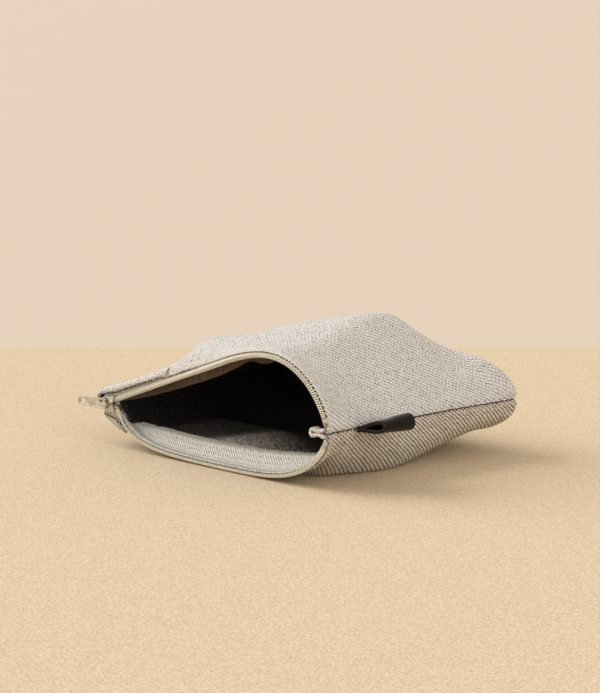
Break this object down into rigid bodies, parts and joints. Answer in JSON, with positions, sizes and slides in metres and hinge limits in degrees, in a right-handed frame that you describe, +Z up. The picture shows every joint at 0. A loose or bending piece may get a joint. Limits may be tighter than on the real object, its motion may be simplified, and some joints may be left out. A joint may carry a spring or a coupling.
{
  "type": "pleated zip pouch",
  "caption": "Puffed cloth pouch with knife pleats at its mouth, a coil zip with a sliding pull and a leather side loop, lying open on its back panel.",
  "frame": {"origin": "middle of the bounding box, at the table under the back panel", "axes": "+X along the zip from the slider to the far end, +Y from the mouth to the bottom seam, +Z up from the table"},
  "size_m": [0.2264, 0.1624, 0.0798],
  "materials": {
    "twill": "matte, brushed wool twill",
    "zip_tape": "matte, woven herringbone",
    "coil": "satin nylon",
    "nickel": "satin nickel plate",
    "leather": "smooth, slightly waxed"
  },
  "bodies": {
    "pouch": {"front_panel": "twill", "back_panel": "twill", "front_zip_tape": "zip_tape", "back_zip_tape": "zip_tape", "front_coil": "coil", "back_coil": "coil", "front_top_stop": "nickel", "back_top_stop": "nickel", "bottom_stop": "nickel", "zip_end_tab": "zip_tape", "side_loop": "leather"},
    "slider": {"slider_body": "nickel"},
    "pull": {"pull_tab": "nickel"}
  },
  "joints": [
    {"name": "zip_slide", "type": "slide", "parent": "pouch", "child": "slider", "axis": [0.9993, 0, 0.0366], "range_m": [0, 0.158], "deforming": ["front_panel", "back_panel", "front_zip_tape", "back_zip_tape", "front_coil", "back_coil"]},
    {"name": "pull_hinge", "type": "hinge", "parent": "slider", "child": "pull", "pos_m": [-0.08923, -0.07895, 0.02486], "axis": [-0.0366, 0, 0.9993], "range_deg": [0, 170]}
  ]
}
